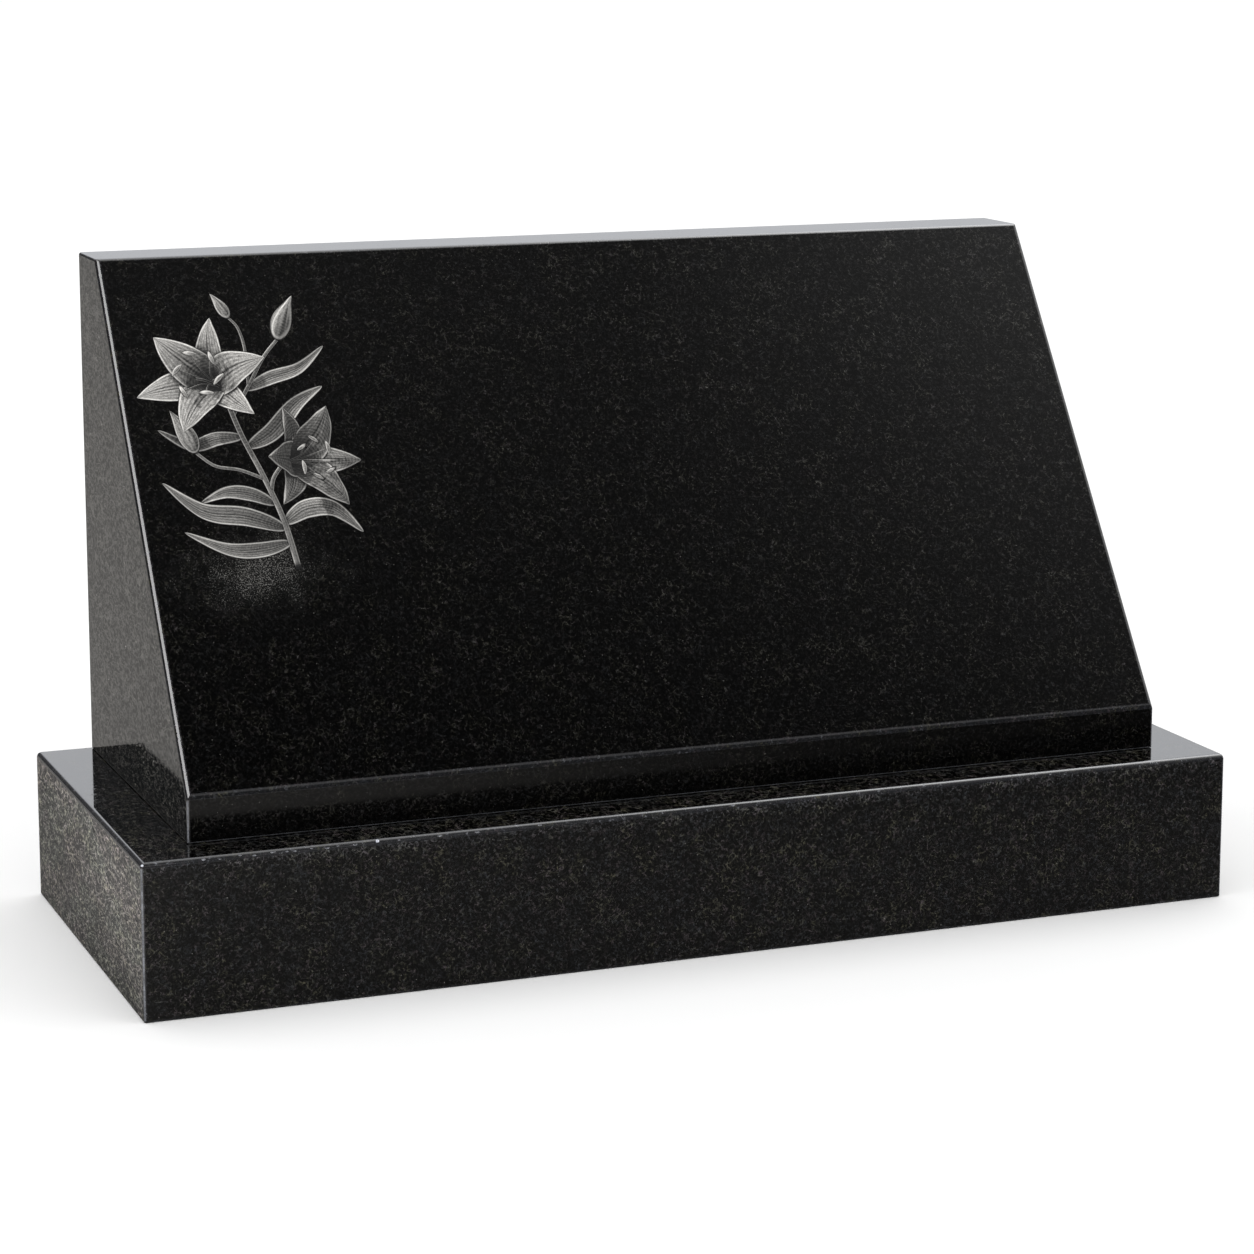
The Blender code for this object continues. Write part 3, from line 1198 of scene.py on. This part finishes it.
def studio_world():
    """Even white light, with a graded room for the polished faces to mirror."""
    settings = stage_settings()
    world = bpy.data.worlds.new("studio")
    bpy.context.scene.world = world
    world.use_nodes = True
    board = Board(world.node_tree)
    x, y, z = board.parts(board.add("ShaderNodeTexCoord").outputs["Generated"])

    level = board.math("MULTIPLY_ADD", board.beyond(y, BACK_WALL_FROM_Y), 1.1, 0.03)
    steep = board.math("POWER", board.beyond(y, RIGHT_WALL_FROM_Y), 2.0)
    right = board.product(board.beyond(x, RIGHT_WALL_FROM_X), steep, 110.0)
    room = board.math("MINIMUM", board.math("ADD", level, right), BRIGHTEST_WALL)
    horizon = board.math("MULTIPLY_ADD", z, 2.2, 0.35, clamp=True)
    room = board.product(room, horizon, board.ramp(x, *ROOM_FROM_LEFT))

    ceiling = board.product(board.ramp(y, *CEILING_FROM_FRONT), board.ramp(z, *CEILING_FROM_FOOT),
                            board.ramp(x, *CEILING_FROM_LEFT))
    band = board.product(board.ramp(y, *BAND_FROM_BACK), board.ramp(z, *BAND_FROM_FOOT),
                         board.ramp(z, *BAND_FROM_HEAD))
    left_band = board.product(board.ramp(y, *BAND_FROM_BACK), board.ramp(x, *BAND_FROM_RIGHT))
    room = board.math("ADD", room, board.math("ADD", ceiling, board.math("MAXIMUM", band, left_band)))

    rays = board.add("ShaderNodeLightPath").outputs
    even = board.product(rays["Is Camera Ray"], WHITE_BACKGROUND - settings.daylight)
    even = board.math("ADD", even, settings.daylight)
    strength = board.add("ShaderNodeMix", {"Factor": rays["Is Glossy Ray"]}, data_type="FLOAT")
    board.feed(strength.inputs[2], even)
    board.feed(strength.inputs[3], room)
    cool = board.product(rays["Is Glossy Ray"], board.ramp(y, 0.20, 0.80))
    tint = board.blend(cool, (1.0, 1.0, 1.0), (0.965, 0.985, 1.03))
    glow = board.add("ShaderNodeBackground", {"Color": tint, "Strength": strength.outputs[0]})
    board.add("ShaderNodeOutputWorld", {"Surface": glow.outputs["Background"]})


def studio_floor():
    """A plain white floor, which the polished stone mirrors as a greyer one."""
    deselect_all()
    bpy.ops.mesh.primitive_plane_add(size=16.0, location=(0.0, 0.0, 0.0))
    floor = added("studio_floor")
    material, board = new_material("studio_floor")
    x, y, _ = board.parts(board.object_place())
    mirrored = board.product(board.ramp(y, *FLOOR_FROM_FRONT), board.ramp(y, *FLOOR_TO_FRONT),
                             board.ramp(board.math("SUBTRACT", x, y), *FLOOR_TO_FRONT_RIGHT))
    strip = board.product(board.ramp(x, *STRIP_FROM_RIGHT), board.ramp(y, *STRIP_FROM_BACK))
    fore = board.product(board.ramp(y, *FORE_FROM_BACK), board.ramp(x, *FORE_FROM_RIGHT))
    mirrored = board.math("ADD", board.math("ADD", mirrored, strip), fore)
    mirrored = board.vector("SCALE", (1.03, 1.0, 0.96), scale=mirrored)
    glossy = board.add("ShaderNodeLightPath").outputs["Is Glossy Ray"]
    shader = board.add("ShaderNodeBsdfDiffuse", {"Color": board.blend(glossy, (0.90, 0.90, 0.90), mirrored)})
    board.add("ShaderNodeOutputMaterial", {"Surface": shader.outputs["BSDF"]})
    floor.data.materials.append(material)


def soft_light(name, place, aim, width, power):
    """A square soft light that looks at a point."""
    lamp = bpy.data.lights.new(name, "AREA")
    lamp.shape = "SQUARE"
    lamp.size = width
    lamp.energy = power
    holder = bpy.data.objects.new(name, lamp)
    bpy.context.scene.collection.objects.link(holder)
    holder.location = place
    holder.rotation_euler = (Vector(aim) - Vector(place)).to_track_quat("-Z", "Y").to_euler()
    holder.visible_camera = False
    return holder


def studio_camera():
    settings = stage_settings()
    lens = bpy.data.cameras.new("camera")
    lens.sensor_width = 36.0
    lens.lens = settings.lens
    lens.shift_y = settings.shift
    lens.clip_start = 0.05
    lens.clip_end = 60.0
    camera = bpy.data.objects.new("camera", lens)
    bpy.context.scene.collection.objects.link(camera)
    azimuth = settings.camera_azimuth
    elevation = settings.camera_elevation
    back = Vector((math.sin(azimuth) * math.cos(elevation), -math.cos(azimuth) * math.cos(elevation),
                   math.sin(elevation)))
    camera.location = settings.camera_place
    camera.rotation_mode = "QUATERNION"
    camera.rotation_quaternion = (-back).to_track_quat("-Z", "Y")
    bpy.context.scene.camera = camera


class HEADSTONE_OT_stage(bpy.types.Operator):
    """Sets up the camera, the white floor and the soft lights."""

    bl_idname = "headstone.stage"
    bl_label = "Stage"

    def execute(self, context):
        settings = stage_settings()
        context.scene.view_settings.view_transform = "Standard"
        studio_camera()
        studio_world()
        studio_floor()
        key = soft_light("key_light", (1.5, -1.8, 2.4), (0.0, 0.0, 0.1), 1.6, settings.key_power)
        key.visible_glossy = False
        edge = soft_light("edge_light", (-1.88, -0.71, 1.77), (-0.34, 0.0, 0.30), 1.9, settings.edge_power)
        edge.visible_diffuse = False
        fill = soft_light("left_fill", (-2.3, -0.6, 1.6), (-0.2, 0.0, 0.1), 1.6, settings.fill_power)
        fill.visible_glossy = False
        return {"FINISHED"}


# The panel and the run

OPERATORS = (HEADSTONE_OT_stage, HEADSTONE_OT_base, HEADSTONE_OT_tablet, HEADSTONE_OT_spray)
GROUPS = {"headstone_sizes": HeadstoneSizes, "headstone_colours": HeadstoneColours,
          "headstone_stage": HeadstoneStage}


class HEADSTONE_PT_panel(bpy.types.Panel):
    """Lists the headstone's sizes, colours and pieces."""

    bl_idname = "HEADSTONE_PT_panel"
    bl_label = "Headstone"
    bl_space_type = "VIEW_3D"
    bl_region_type = "UI"
    bl_category = "Headstone"

    def draw(self, context):
        for operator in OPERATORS:
            self.layout.operator(operator.bl_idname)
        for name, group in GROUPS.items():
            box = self.layout.box()
            for field in group.__annotations__:
                box.prop(getattr(context.scene, name), field)


def register():
    for group in GROUPS.values():
        bpy.utils.register_class(group)
    for name, group in GROUPS.items():
        setattr(bpy.types.Scene, name, PointerProperty(type=group))
    for operator in OPERATORS:
        bpy.utils.register_class(operator)
    bpy.utils.register_class(HEADSTONE_PT_panel)


def unregister():
    bpy.utils.unregister_class(HEADSTONE_PT_panel)
    for operator in reversed(OPERATORS):
        bpy.utils.unregister_class(operator)
    for name in GROUPS:
        delattr(bpy.types.Scene, name)
    for group in GROUPS.values():
        bpy.utils.unregister_class(group)


def main():
    register()
    bpy.ops.headstone.stage()
    bpy.ops.headstone.base()
    bpy.ops.headstone.tablet()
    bpy.ops.headstone.spray()
    deselect_all()


if __name__ == "__main__":
    main()
